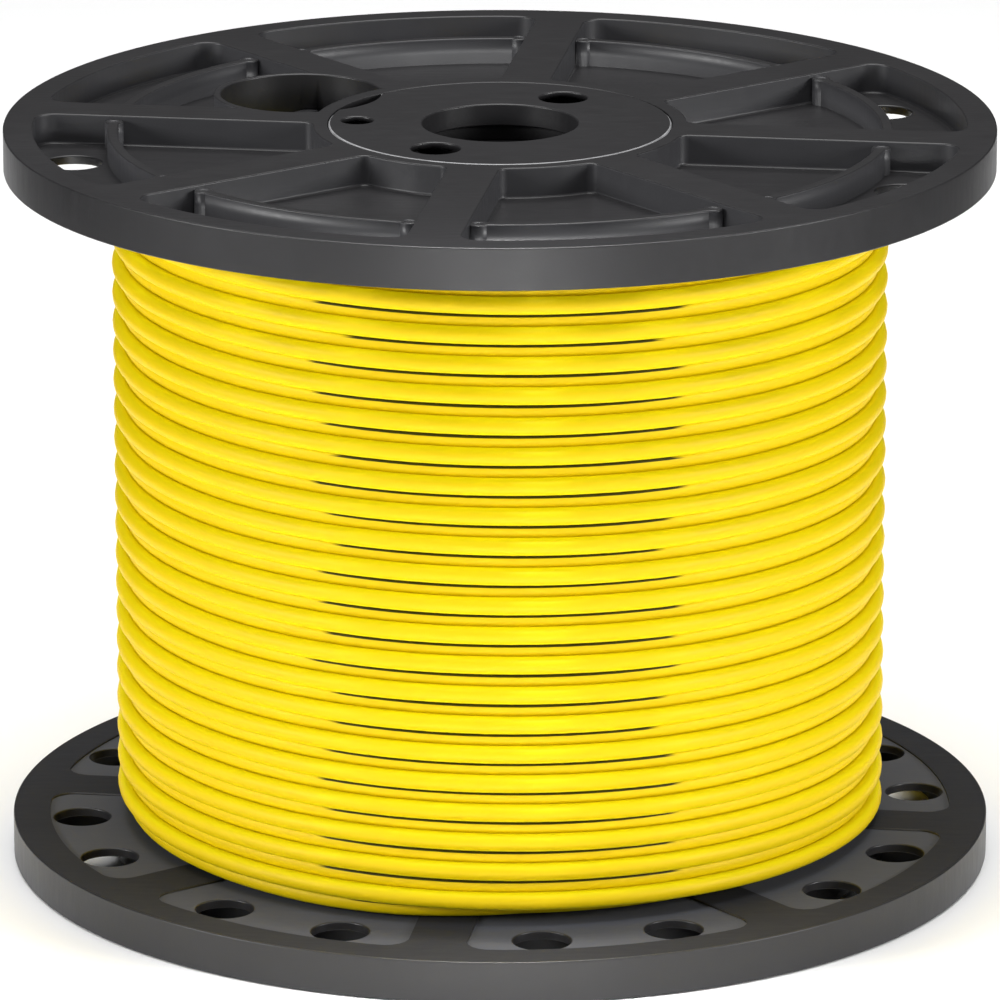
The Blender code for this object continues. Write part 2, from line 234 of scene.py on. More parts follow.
# Studio
SHEET_SIZE = (1.2, 3.6)
SHEET_COLOUR = (0.93, 0.93, 0.93, 1)
LAMPS = {  # place, target, width, height and power
    "overhead": ((0, 0.15, 2.2), (0, 0.15, 0), 1.6, 2.6, 62),
    "left": ((-1.85, -0.85, 0.7), (0, 0, 0.12), 0.8, 0.5, 27),
    "right": ((1.85, -0.85, 0.7), (0, 0, 0.12), 0.8, 0.5, 27),
    "front": ((0, -2.5, 0.16), (0, 0, 0.1), 0.7, 0.3, 2),
}
SPOTS = {  # place, target, cone in degrees and power
    "forefloor": ((0, -1, 1.4), (0, -0.9, 0), 26, 680),
    "nearfloor": ((0, -0.35, 1.5), (0, -0.24, 0), 8, 300),
}
SPOT_BLEND = 0.8
SPOT_SIZE = 0.1
SURROUNDINGS = (0.05, 0.2)  # their strength behind the reel and in front of it
SURROUNDINGS_TURN = (0.4, -0.6)  # the direction's Y at which each of them is reached

# Camera, with its lens and sensor in millimetres
CAMERA_DISTANCE = 18 * FLANGE_RADIUS
CAMERA_ELEVATION = math.radians(16.21)
CAMERA_TILT = math.radians(16.3)
CAMERA_LENS = 318
CAMERA_SENSOR = 36
CAMERA_REACH = 50


# Materials


def node(tree, kind, **properties):
    """A new shader node, with its properties set by name."""
    made = tree.nodes.new(kind)
    for name, value in properties.items():
        setattr(made, name, value)
    return made


def principled(name, roughness, **values):
    """A material with its tree, its shader and its object coordinates."""
    made = bpy.data.materials.new(name)
    made.use_nodes = True
    tree = made.node_tree
    shader = tree.nodes["Principled BSDF"]
    shader.inputs["Roughness"].default_value = roughness
    for socket, value in values.items():
        shader.inputs[socket.replace("_", " ")].default_value = value
    return made, tree, shader, tree.nodes.new("ShaderNodeTexCoord").outputs["Object"]


def ramp(tree, source, stops):
    """A colour ramp over a source, with (position, colour) stops."""
    made = tree.nodes.new("ShaderNodeValToRGB")
    elements = made.color_ramp.elements
    while len(elements) < len(stops):
        elements.new(0.5)
    for element, (position, colour) in zip(elements, stops):
        element.position = position
        element.color = (*colour, 1)
    tree.links.new(source, made.inputs["Fac"])
    return made.outputs["Color"]


def span(tree, source, low, high):
    """A source from 0 to 1, spread from low to high, or turned round if low is the greater."""
    made = node(tree, "ShaderNodeMapRange")
    made.inputs["To Min"].default_value = low
    made.inputs["To Max"].default_value = high
    tree.links.new(source, made.inputs["Value"])
    return made.outputs["Result"]


def step_between(tree, source, low, high):
    """A smooth step from 0 to 1 as a source goes from low to high."""
    made = node(tree, "ShaderNodeMapRange", interpolation_type="SMOOTHSTEP")
    made.inputs["From Min"].default_value = low
    made.inputs["From Max"].default_value = high
    tree.links.new(source, made.inputs["Value"])
    return made.outputs["Result"]


def noise(tree, coordinates, scale, detail=2.0, stretch=None):
    """A noise of a scale in cells per metre, stretched along the axes if asked."""
    if stretch:
        mapping = tree.nodes.new("ShaderNodeMapping")
        mapping.inputs["Scale"].default_value = stretch
        tree.links.new(coordinates, mapping.inputs["Vector"])
        coordinates = mapping.outputs["Vector"]
    made = tree.nodes.new("ShaderNodeTexNoise")
    made.inputs["Scale"].default_value = scale
    made.inputs["Detail"].default_value = detail
    tree.links.new(coordinates, made.inputs["Vector"])
    return made.outputs["Fac"]


def bump(tree, shader, layers):
    """Bumps of (source, height in metres), laid on each other."""
    normal = None
    for source, height in layers:
        made = tree.nodes.new("ShaderNodeBump")
        made.inputs["Strength"].default_value = 1
        made.inputs["Distance"].default_value = height
        tree.links.new(source, made.inputs["Height"])
        if normal:
            tree.links.new(normal, made.inputs["Normal"])
        normal = made.outputs["Normal"]
    tree.links.new(normal, shader.inputs["Normal"])


def moulded_plastic(name, dark, light, roughness, grain, ior):
    """Moulded plastic: fine grain, faint flow clouds, and scuffs that dull it here and there."""
    made, tree, shader, place = principled(name, roughness, IOR=ior)
    clouds = noise(tree, place, scale=14, detail=5)
    colour = ramp(tree, clouds, [(0.3, dark), (0.75, light)])
    tree.links.new(colour, shader.inputs["Base Color"])
    scuffs = noise(tree, place, scale=90, detail=6, stretch=(1, 6, 1))
    worn = span(tree, scuffs, low=roughness - RUBBED, high=roughness + SCUFFED)
    tree.links.new(worn, shader.inputs["Roughness"])
    fine = noise(tree, place, scale=1500)
    coarse = noise(tree, place, scale=60)
    bump(tree, shader, [(fine, grain), (coarse, 2 * grain)])
    return made


def painted_highlight_edge():
    """A painted highlight on the chamfer round a hub plate, paler than the plastic round it."""
    made, tree, shader, place = principled("PaintedHighlightEdge", roughness=0.35, IOR=1.45)
    # Painted highlight: pale greys stand in for the light caught along the chamfer.
    highlight_tone = noise(tree, place, scale=120, detail=4)
    colours = [(0.25, (0.2, 0.2, 0.205)), (0.7, (0.42, 0.42, 0.43))]
    tree.links.new(ramp(tree, highlight_tone, colours), shader.inputs["Base Color"])
    bump(tree, shader, [(noise(tree, place, scale=900), 0.00002)])
    return made


def vector_maths(tree, operation, first, second=None):
    """The node of a vector operation on a socket and a socket or fixed vector."""
    made = node(tree, "ShaderNodeVectorMath", operation=operation)
    tree.links.new(first, made.inputs[0])
    if isinstance(second, tuple):
        made.inputs[1].default_value = second
    elif second:
        tree.links.new(second, made.inputs[1])
    return made


def maths(tree, operation, first, second):
    """The value of an operation on a socket and a socket or number."""
    made = node(tree, "ShaderNodeMath", operation=operation)
    tree.links.new(first, made.inputs[0])
    if isinstance(second, float):
        made.inputs[1].default_value = second
    else:
        tree.links.new(second, made.inputs[1])
    return made.outputs["Value"]


def wire_insulation(name, painted_shade=False):
    """Yellow insulation with painted shading: deeper on each turn's crest, lighter and greener on
    its flanks.

    Painted shade darkens a sunk strand's upper side at the front and back, where the rows have
    parted.
    """
    made, tree, shader, place = principled(name, roughness=0.5, IOR=1.3)
    geometry = tree.nodes.new("ShaderNodeNewGeometry")
    flat = vector_maths(tree, "MULTIPLY", geometry.outputs["Position"], (1, 1, 0))
    radial = vector_maths(tree, "NORMALIZE", flat.outputs["Vector"])
    facing = vector_maths(tree, "DOT_PRODUCT", radial.outputs["Vector"], geometry.outputs["Normal"])
    mottle = span(tree, noise(tree, place, scale=30), low=-0.05, high=0.05)
    total = maths(tree, "ADD", facing.outputs["Value"], mottle)
    # Painted shading: the colour follows how far the surface faces out from the axis, lighter on
    # the flanks and deeper on the crest.
    colour = ramp(tree, total, INSULATION_PAINTED_SHADE_STOPS)
    # Painted shade: a dark line under each proud row at the front and back, in place of its shadow.
    if painted_shade:
        parts = tree.nodes.new("ShaderNodeSeparateXYZ")
        tree.links.new(geometry.outputs["Normal"], parts.inputs["Vector"])
        upper = step_between(tree, parts.outputs["Z"], *PAINTED_SHADE_RISE)
        parts = tree.nodes.new("ShaderNodeSeparateXYZ")
        tree.links.new(radial.outputs["Vector"], parts.inputs["Vector"])
        rows = noise(tree, place, scale=1, detail=3, stretch=(0, 0, ROW_CELLS))
        rows = span(tree, rows, low=-PAINTED_SHADE_JITTER, high=PAINTED_SHADE_JITTER)
        ahead = maths(tree, "ADD", maths(tree, "ABSOLUTE", parts.outputs["Y"], 0.0), rows)
        parted = step_between(tree, ahead, *PAINTED_SHADE_REACH)
        mixed = node(tree, "ShaderNodeMix", data_type="RGBA")
        tree.links.new(maths(tree, "MULTIPLY", upper, parted), mixed.inputs["Factor"])
        tree.links.new(colour, mixed.inputs["A"])
        mixed.inputs["B"].default_value = PAINTED_SHADE_COLOUR
        colour = mixed.outputs["Result"]
    tree.links.new(colour, shader.inputs["Base Color"])
    sheen = noise(tree, place, scale=220, detail=3)
    tree.links.new(span(tree, sheen, low=0.45, high=0.58), shader.inputs["Roughness"])
    bump(tree, shader, [(noise(tree, place, scale=700), 0.00001)])
    return made


def copper():
    """Copper with a light tarnish, duller where it is darker."""
    made, tree, shader, place = principled("Copper", roughness=0.3, Metallic=1.0)
    tarnish = noise(tree, place, scale=600, detail=4)
    colours = [(0.3, (0.62, 0.27, 0.14)), (0.7, (0.9, 0.48, 0.3))]
    tree.links.new(ramp(tree, tarnish, colours), shader.inputs["Base Color"])
    tree.links.new(span(tree, tarnish, low=0.38, high=0.2), shader.inputs["Roughness"])
    bump(tree, shader, [(noise(tree, place, scale=3000), 0.00001)])
    return made


def zinc_steel():
    """Zinc-plated steel, with the plating's blue and straw clouds and fine turning marks."""
    made, tree, shader, place = principled("ZincSteel", roughness=0.33, Metallic=1.0)
    clouds = noise(tree, place, scale=260, detail=4)
    colours = [(0.3, (0.5, 0.52, 0.56)), (0.7, (0.66, 0.65, 0.6))]
    tree.links.new(ramp(tree, clouds, colours), shader.inputs["Base Color"])
    tree.links.new(span(tree, clouds, low=0.42, high=0.26), shader.inputs["Roughness"])
    marks = noise(tree, place, scale=1200, detail=3, stretch=(1, 1, 8))
    bump(tree, shader, [(marks, 0.00002)])
    return made


# Mesh helpers


def polar(radius, azimuth, z=0.0):
    """A point by its radius and azimuth."""
    return Vector((radius * math.sin(azimuth), -radius * math.cos(azimuth), z))


def arc(centre, radius, start, end, steps):
    """Points of an arc round a point, by azimuth, both ends included."""
    turn = (end - start) / steps
    return [centre + polar(radius, start + turn * step) for step in range(steps + 1)]


def circle(centre, radius, sides):
    """An anticlockwise circle round a point, seen from above."""
    return arc(centre, radius, 0, math.tau, sides)[:-1]


def mesh_of(bm, name, sharp=SHARP):
    """The finished mesh of a bmesh, facing out, smooth but for edges sharper than an angle."""
    bmesh.ops.remove_doubles(bm, verts=bm.verts, dist=WELD)
    bmesh.ops.recalc_face_normals(bm, faces=bm.faces)
    mesh = bpy.data.meshes.new(name)
    bm.to_mesh(mesh)
    bm.free()
    mesh.shade_smooth()
    mesh.set_sharp_from_angle(angle=math.radians(sharp))
    return mesh


def offset(outline, distance):
    """An anticlockwise outline moved outwards by a distance, or inwards by a negative one."""
    moved = []
    for index, corner in enumerate(outline):
        before = (corner - outline[index - 1]).normalized()
        after = (outline[(index + 1) % len(outline)] - corner).normalized()
        along = (before + after).normalized()
        outward = Vector((along.y, -along.x, 0))
        moved.append(corner + outward * distance / max(along.dot(before), MITRE_LIMIT))
    return moved


def rounded(outline, radii, steps):
    """A closed outline with each corner rounded to its own radius, which may be 0."""
    points = []
    for index, corner in enumerate(outline):
        before = (outline[index - 1] - corner).normalized()
        after = (outline[(index + 1) % len(outline)] - corner).normalized()
        radius = radii[index]
        if radius == 0:
            points.append(corner)
            continue
        half = before.angle(after) / 2
        centre = corner + (before + after).normalized() * radius / math.sin(half)
        first = corner + before * radius / math.tan(half) - centre
        last = corner + after * radius / math.tan(half) - centre
        for step in range(steps + 1):
            points.append(centre + first.lerp(last, step / steps).normalized() * radius)
    return points


def softened(profile, radii):
    """A closed profile of (radius, height) points with its corners rounded."""
    corners = [Vector(point) for point in profile]
    return [tuple(point) for point in rounded(corners, radii, EDGE_STEPS)]


def lofted(outlines, levels, name):
    """A mesh with one upright solid for each outline, through (height, offset) levels."""
    bm = bmesh.new()
    for outline in outlines:
        rings = []
        for height, distance in levels:
            moved = offset(outline, distance)
            rings.append([bm.verts.new((point.x, point.y, height)) for point in moved])
        for lower, upper in zip(rings, rings[1:]):
            for index in range(len(outline)):
                after = (index + 1) % len(outline)
                bm.faces.new((lower[index], lower[after], upper[after], upper[index]))
        bm.faces.new(rings[0][::-1])
        bm.faces.new(rings[-1])
    return mesh_of(bm, name)


def flare(top):
    """Levels at the top of a cutter that leave a rounded mouth there."""
    angles = [math.radians(turn) for turn in (0, 25, 50, 75)]
    levels = [
        (top - EDGE + EDGE * math.sin(turn), EDGE * (1 - math.cos(turn))) for turn in angles
    ]
    height, distance = levels[-1]
    rise = top + FLARE_PASS - height
    return levels + [(top + FLARE_PASS, distance + rise * math.tan(angles[-1]))]


def mirrored(levels, middle):
    """Levels turned upside down round a height."""
    return [(2 * middle - height, distance) for height, distance in reversed(levels)]


def pocket_levels(floor, top):
    """Levels of a pocket's cutter: a fillet at its floor and a rounded mouth."""
    angles = [math.radians(turn) for turn in (0, 30, 60)]
    fillet = [
        (floor + FILLET * (1 - math.cos(turn)), -FILLET * (1 - math.sin(turn)))
        for turn in angles
    ]
    return fillet + [(floor + FILLET, 0)] + flare(top)


def through_levels(bottom, top):
    """Levels of a through hole's cutter, with a rounded mouth at both ends."""
    return mirrored(flare(bottom + 2 * EDGE), bottom + EDGE) + flare(top)


def domed_levels(bottom, top):
    """Levels of a raised solid with a rounded top edge."""
    angles = [math.radians(turn) for turn in (0, 30, 60, 90)]
    return [(bottom, 0)] + [
        (top - EDGE + EDGE * math.sin(turn), -EDGE * (1 - math.cos(turn))) for turn in angles
    ]


def turned(profile, sides, name, sharp=SHARP):
    """A mesh turned round Z from a closed loop of (radius, height) points."""
    bm = bmesh.new()
    corners = [bm.verts.new((radius, 0, height)) for radius, height in profile]
    edges = [bm.edges.new(pair) for pair in zip(corners, corners[1:])]
    # A profile that starts and ends on the axis needs no edge along it.
    if profile[0][0] > 0:
        edges.append(bm.edges.new((corners[-1], corners[0])))
    bmesh.ops.spin(
        bm, geom=edges, axis=(0, 0, 1), cent=(0, 0, 0), angle=math.tau, steps=sides, use_merge=True
    )
    return mesh_of(bm, name, sharp)


def combined(mesh, other, operation):
    """The mesh after a Boolean with another mesh."""
    target = bpy.data.objects.new("Target", mesh)
    cutter = bpy.data.objects.new("Cutter", other)
    for helper in (target, cutter):
        bpy.context.scene.collection.objects.link(helper)
    modifier = target.modifiers.new(operation.title(), "BOOLEAN")
    modifier.operation = operation
    modifier.solver = "EXACT"
    modifier.object = cutter
    graph = bpy.context.evaluated_depsgraph_get()
    result = bpy.data.meshes.new_from_object(target.evaluated_get(graph))
    result.name = mesh.name
    for helper in (target, cutter):
        bpy.data.objects.remove(helper)
    return result


def cleaned(mesh):
    """The mesh without the specks and slivers that Booleans leave."""
    bm = bmesh.new()
    bm.from_mesh(mesh)
    bmesh.ops.remove_doubles(bm, verts=bm.verts, dist=SPECK)
    bmesh.ops.dissolve_degenerate(bm, edges=bm.edges, dist=SPECK)
    stray = [edge for edge in bm.edges if edge.is_wire]
    bmesh.ops.delete(bm, geom=stray, context="EDGES")
    bm.to_mesh(mesh)
    bm.free()
    return mesh


def placed(name, mesh, finishes, nodes):
    """Adds a piece that stands for CAD nodes, with its finishes."""
    piece = bpy.data.objects.new(name, mesh)
    bpy.context.scene.collection.objects.link(piece)
    for finish in finishes:
        mesh.materials.append(finish)
    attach(piece, "root")
    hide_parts(*nodes)
    return piece


def weighted(piece):
    """Keeps the large flat faces flat next to their rounded edges."""
    modifier = piece.modifiers.new("FlatFaces", "WEIGHTED_NORMAL")
    modifier.keep_sharp = True
    modifier.weight = FLAT_WEIGHT


# Flanges and hub plates


def sector_middles():
    """The azimuths of the middles of the sectors between spokes."""
    return [SPOKE_PHASE + SECTOR * (index + 0.5) for index in range(SPOKE_COUNT)]


def without_neighbours(points):
    """An arc without the points next to its ends, which the rounds at its ends reach past."""
    return points[:1] + points[3:-3] + points[-1:]


def pocket_outline(middle):
    """The outline of the pocket between two spokes: rim, spoke side, hub, spoke side."""
    outer = SECTOR / 2 - math.asin(SPOKE_WIDTH / 2 / RIM_INNER_RADIUS)
    inner = SECTOR / 2 - math.asin(SPOKE_WIDTH / 2 / HUB_RADIUS)
    origin = Vector()
    rim = arc(origin, RIM_INNER_RADIUS, middle - outer, middle + outer, RIM_STEPS)
    rim = without_neighbours(rim)
    hub = arc(origin, HUB_RADIUS, middle + inner, middle - inner, HUB_STEPS)
    hub = without_neighbours(hub)
    rim_radii = [RIM_CORNER] + [0] * (len(rim) - 2) + [RIM_CORNER]
    hub_radii = [HUB_CORNER] + [0] * (len(hub) - 2) + [HUB_CORNER]
    return rounded(rim + hub, rim_radii + hub_radii, CORNER_STEPS)


def rib_outline(middle):
    """The outline of a pocket's curved rib with its end bosses, which run into the spokes."""
    reach = boss_reach()
    neck = math.asin(RIB_THICKNESS / 2 / BOSS_RADIUS)
    stop = reach - BOSS_RADIUS * math.cos(neck) / RIB_RADIUS
    origin = Vector()
    inner_face = RIB_RADIUS - RIB_THICKNESS / 2
    outer_face = RIB_RADIUS + RIB_THICKNESS / 2
    left = middle - reach
    right = middle + reach
    outside = arc(origin, outer_face, middle - stop, middle + stop, RIB_STEPS)
    inside = arc(origin, inner_face, middle + stop, middle - stop, RIB_STEPS)
    # A boss is met by the rib on one side, so its arc leaves out the neck there.
    quarter = math.tau / 4
    right_arc = (right - quarter + neck, right + 3 * quarter - neck)
    left_arc = (left + quarter + neck, left + 5 * quarter - neck)
    right_boss = arc(polar(RIB_RADIUS, right), BOSS_RADIUS, *right_arc, SMALL_SIDES)
    left_boss = arc(polar(RIB_RADIUS, left), BOSS_RADIUS, *left_arc, SMALL_SIDES)
    return outside + right_boss[1:-1] + inside + left_boss[1:-1]


def boss_reach():
    """The azimuth of a rib's end boss from the middle of its pocket."""
    return SECTOR / 2 - math.asin((SPOKE_WIDTH / 2 + BOSS_INSET) / RIB_RADIUS)


def panel_outline(middle):
    """The outline of the shallow panel in a sector of the inner face."""
    outer = SECTOR / 2 - math.asin(PANEL_MARGIN / PANEL_OUTSIDE)
    inner = SECTOR / 2 - math.asin(PANEL_MARGIN / PANEL_INSIDE)
    origin = Vector()
    rim = arc(origin, PANEL_OUTSIDE, middle - outer, middle + outer, RIM_STEPS)
    rim = without_neighbours(rim)
    hub = arc(origin, PANEL_INSIDE, middle + inner, middle - inner, PANEL_STEPS)
    radii = [PANEL_CORNER] + [0] * (len(rim) - 2) + [PANEL_CORNER] + [0] * len(hub)
    return rounded(rim + hub, radii, CORNER_STEPS)


def hub_recess():
    """What is cut from a flange's hub: bore, tube seat, bolt space, ledge and plate seat."""
    floor_hole = COLLAR_RADIUS + GAP
    boss_top = RIM_HEIGHT - COLLAR_DEPTH - GAP
    boss_radius = TUBE_OUTER + 2 * GAP
    ledge = RIM_HEIGHT - PLATE_THICKNESS - GAP
    mouth = EDGE / 2
    profile = [
        (0, -PASS),
        (TUBE_OUTER + GAP, -PASS),
        (TUBE_OUTER + GAP, TUBE_SEAT),
        (floor_hole, TUBE_SEAT),
        (floor_hole, boss_top),
        (boss_radius, boss_top),
        (boss_radius, HUB_FLOOR),
        (LEDGE_BORE, HUB_FLOOR),
        (LEDGE_BORE, ledge),
        (HUB_BORE, ledge),
        (HUB_BORE, RIM_HEIGHT - mouth),
        (HUB_BORE + mouth + PASS, RIM_HEIGHT + PASS),
        (0, RIM_HEIGHT + PASS),
    ]
    return turned(profile, HUB_SIDES, "HubRecess")


def start_circle(radius):
    """A circle of a radius round the start hole's centre."""
    return circle(polar(START_CIRCLE, START_AZIMUTH), radius, 2 * HOLE_SIDES)


def start_hole():
    """The start hole's cutter, which leaves the hub's ring standing across it."""
    hole = lofted([start_circle(START_RADIUS)], through_levels(0, RIM_HEIGHT), "StartHole")
    bridge = [
        (HUB_BORE, -2 * PASS),
        (HUB_RADIUS, -2 * PASS),
        (HUB_RADIUS, RIM_HEIGHT + 2 * PASS),
        (HUB_BORE, RIM_HEIGHT + 2 * PASS),
    ]
    return combined(hole, turned(bridge, HUB_SIDES, "Bridge"), "DIFFERENCE")


def start_wall():
    """The raised wall round the start hole, outside the hub."""
    levels = domed_levels(FLOOR_TOP - PASS, RIM_HEIGHT)
    outside = lofted([start_circle(START_RADIUS + START_WALL)], levels, "Wall")
    hub = circle(Vector(), HUB_RADIUS - PASS, HUB_SIDES)
    inside = lofted([hub], [(-PASS, 0), (RIM_HEIGHT + PASS, 0)], "Hub")
    return combined(outside, inside, "DIFFERENCE")


def hub_holes(clearance):
    """Outlines of the drive holes and the pin hole."""
    centres = [(polar(DRIVE_CIRCLE, azimuth), DRIVE_RADIUS) for azimuth in DRIVE_AZIMUTHS]
    centres.append((polar(PIN_CIRCLE, PIN_AZIMUTH), PIN_RADIUS))
    return [circle(centre, radius + clearance, HOLE_SIDES) for centre, radius in centres]


def flange_blank():
    """A flange's disc, with both edges of its rim rounded."""
    levels = domed_levels(0, RIM_HEIGHT)
    levels = mirrored(levels, RIM_HEIGHT / 2)[:-1] + levels[1:]
    return lofted([circle(Vector(), FLANGE_RADIUS, RIM_SIDES)], levels, "Flange")


def flange_mesh():
    """A flange with its inner face at z = 0 and its pockets opening upwards."""
    middles = sector_middles()
    pockets = lofted(map(pocket_outline, middles), pocket_levels(FLOOR_TOP, RIM_HEIGHT), "Pockets")
    flange = combined(flange_blank(), pockets, "DIFFERENCE")
    ribs = lofted(map(rib_outline, middles), domed_levels(FLOOR_TOP - PASS, RIB_TOP), "Ribs")
    flange = combined(flange, ribs, "UNION")
    ends = [middle + side * boss_reach() for middle in middles for side in (-1, 1)]
    dimples = [circle(polar(RIB_RADIUS, azimuth), DIMPLE_RADIUS, SMALL_SIDES) for azimuth in ends]
    dimple_levels = [(RIB_TOP - DIMPLE_DEPTH, 0), (RIB_TOP + FLARE_PASS, DIMPLE_FLARE)]
    flange = combined(flange, lofted(dimples, dimple_levels, "Dimples"), "DIFFERENCE")
    flange = combined(flange, start_wall(), "UNION")
    flange = combined(flange, hub_recess(), "DIFFERENCE")
    flange = combined(flange, start_hole(), "DIFFERENCE")
    tie_azimuths = [middle + side * TIE_SPREAD for middle in middles for side in (-1, 1)]
    panel_levels = [(-PASS, 0), (PANEL_DEPTH, 0)]
    panels = lofted(map(panel_outline, middles), panel_levels, "Panels")
    flange = combined(flange, panels, "DIFFERENCE")
    holes = [circle(polar(TIE_CIRCLE, azimuth), TIE_RADIUS, HOLE_SIDES) for azimuth in tie_azimuths]
    ties = lofted(holes, through_levels(PANEL_DEPTH, FLOOR_TOP), "Ties")
    flange = combined(flange, ties, "DIFFERENCE")
    bolts = [polar(BOLT_CIRCLE, azimuth) for azimuth in BOLT_AZIMUTHS]
    holes = [circle(centre, BOLT_HOLE, SMALL_SIDES) for centre in bolts]
    holes += hub_holes(HOLE_CLEARANCE)
    flange = combined(flange, lofted(holes, through_levels(0, HUB_FLOOR), "Holes"), "DIFFERENCE")
    groove_inner = BARREL_RADIUS - BARREL_WALL - GAP
    groove = [
        (groove_inner, -PASS),
        (BARREL_RADIUS + GAP, -PASS),
        (BARREL_RADIUS + GAP, BARREL_SEAT),
        (groove_inner, BARREL_SEAT),
    ]
    return cleaned(combined(flange, turned(groove, HUB_SIDES, "Groove"), "DIFFERENCE"))


def hub_plate_mesh():
    """A hub plate with its outer face at z = 0 and its collar pointing down."""
    profile = [
        (ARBOR_RADIUS, -COLLAR_DEPTH),
        (COLLAR_RADIUS, -COLLAR_DEPTH),
        (COLLAR_RADIUS, -PLATE_THICKNESS),
        (HUB_BORE - GAP, -PLATE_THICKNESS),
        (HUB_BORE - GAP, -EDGE),
        (HUB_BORE - GAP - EDGE, 0),
        (ARBOR_RADIUS, 0),
    ]
    radii = [EDGE, EDGE, 0, 0, 0, 0, EDGE]
    plate = turned(softened(profile, radii), HUB_SIDES, "HubPlate")
    levels = [(-PLATE_THICKNESS - PASS, 0)] + flare(0)
    plate = combined(plate, lofted(hub_holes(0), levels, "HubHoles"), "DIFFERENCE")
    levels = [(-COLLAR_DEPTH - PASS, 0)] + flare(0)
    bite = lofted([start_circle(START_RADIUS)], levels, "Bite")
    return cleaned(combined(plate, bite, "DIFFERENCE"))


def finish_faces(mesh, *tests):
    """Gives the faces that pass the first test the piece's second finish, and so on."""
    for face in mesh.polygons:
        for number, test in enumerate(tests, 1):
            if test(face.center, face.normal):
                face.material_index = number


def on_panel(centre, normal):
    """On the floor of a flange's shallow panels?"""
    return abs(centre.z - PANEL_DEPTH) < TOUCH and normal.z < -LEVEL


def on_inner_face(centre, normal):
    """On a flange's inner face, round its panels?"""
    return abs(centre.z) < TOUCH and normal.z < -LEVEL


def on_wall(centre, normal):
    """On an upright side of a pocket or a rib, outside the start hole?"""
    in_pocket = HUB_RADIUS - EDGE < math.hypot(centre.x, centre.y) < RIM_INNER_RADIUS + EDGE
    aside = (centre.xy - polar(START_CIRCLE, START_AZIMUTH).xy).length > START_RADIUS + EDGE
    return in_pocket and aside and centre.z > FLOOR_TOP and abs(normal.z) < UPRIGHT


def on_highlight_chamfer(centre, normal):
    """On a hub plate's outer chamfer?"""
    outside = math.hypot(centre.x, centre.y) > HUB_BORE - GAP - 2 * EDGE
    return outside and CHAMFER[0] < normal.z < CHAMFER[1]


def add_flanges(black, panel, face, painted_lit_wall, edge):
    """Both flanges and both hub plates. The lower ones are the same mouldings turned over."""
    turned_over = Euler((0, math.pi, 2 * SPOKE_PHASE)).to_matrix().to_4x4()
    raised = Matrix.Translation((0, 0, OVERALL_HEIGHT))
    top_flange = Matrix.Translation((0, 0, OVERALL_HEIGHT - RIM_HEIGHT))
    bottom_flange = Matrix.Translation((0, 0, RIM_HEIGHT)) @ turned_over
    sides = {"top": (top_flange, raised), "bottom": (bottom_flange, turned_over)}
    for side, (flange_place, plate_place) in sides.items():
        flange = flange_mesh()
        nodes = [f"{side}_flange"]
        # The upright pocket and rib walls get the paler plastic, which is painted light.
        finishes = [black, panel, face, painted_lit_wall]
        piece = placed(f"{side}_flange_moulding", flange, finishes, nodes)
        finish_faces(flange, on_panel, on_inner_face, on_wall)
        flange.transform(flange_place)
        weighted(piece)
        plate = hub_plate_mesh()
        nodes = [f"{side}_hub_plate"]
        # The plate's chamfer gets the painted highlight finish.
        piece = placed(f"{side}_hub_plate_moulding", plate, [black, edge], nodes)
        finish_faces(plate, on_highlight_chamfer)
        plate.transform(plate_place)
        weighted(piece)


def add_tubes(dark):
    """The barrel and the arbor tube, with rounded ends."""
    tubes = {
        "barrel": (BARREL_RADIUS - BARREL_WALL, BARREL_RADIUS, BARREL_LOW.z, BARREL_HIGH.z),
        "arbor_tube": (TUBE_INNER, TUBE_OUTER, TUBE_LOW.z, TUBE_HIGH.z),
    }
    for name, (inner, outer, low, high) in tubes.items():
        profile = [(inner, low), (outer, low), (outer, high), (inner, high)]
        mesh = turned(softened(profile, [EDGE] * 4), RING_SIDES, name.title())
        placed(f"{name}_moulding", mesh, [dark], [name])


# Wire


def smooth(value, low, high):
    """A smooth step from 0 to 1 as a value goes from low to high."""
    share = min(max((value - low) / (high - low), 0), 1)
    return share * share * (3 - 2 * share)


def bead_profile():
    """The outline of the inner layers' section, with the bulge of each turn on it."""
    rise = math.sqrt(4 * WIRE_RADIUS**2 - INNER_SPACING**2)
    first = BARREL_RADIUS + GAP + WIRE_RADIUS
    radii = [first + INNER_SPACING * layer for layer in range(INNER_LAYERS)]
    lifts = [rise * (layer % 2) for layer in range(INNER_LAYERS)]
    rows = round((WIRE_TOP - WIRE_LEVEL) / (2 * WIRE_RADIUS))
    heights = [WIRE_LEVEL + (WIRE_TOP - WIRE_LEVEL) * row / rows for row in range(rows + 1)]
    centres = [Vector((radius, WIRE_LEVEL + lift)) for radius, lift in zip(radii, lifts)]
    centres += [Vector((radii[-1], height)) for height in heights[1:-1]]
    centres += [
        Vector((radius, WIRE_TOP - lift)) for radius, lift in zip(radii[::-1], lifts[::-1])
    ]
    before = centres[0] - Vector((1, 0))
    after = centres[-1] - Vector((1, 0))
    chain = [before] + centres + [after]
    profile = []
    for previous, centre, following in zip(chain, centres, chain[2:]):
        start = math.atan2(previous.y - centre.y, previous.x - centre.x)
        end = math.atan2(following.y - centre.y, following.x - centre.x)
        while end <= start:
            end += math.tau
        steps = max(BEAD_STEPS, round((end - start) / BEAD_ANGLE))
        for step in range(steps):
            turn = start + (end - start) * (step + 0.5) / steps
            point = centre + WIRE_RADIUS * Vector((math.cos(turn), math.sin(turn)))
            profile.append(tuple(point))
    return profile


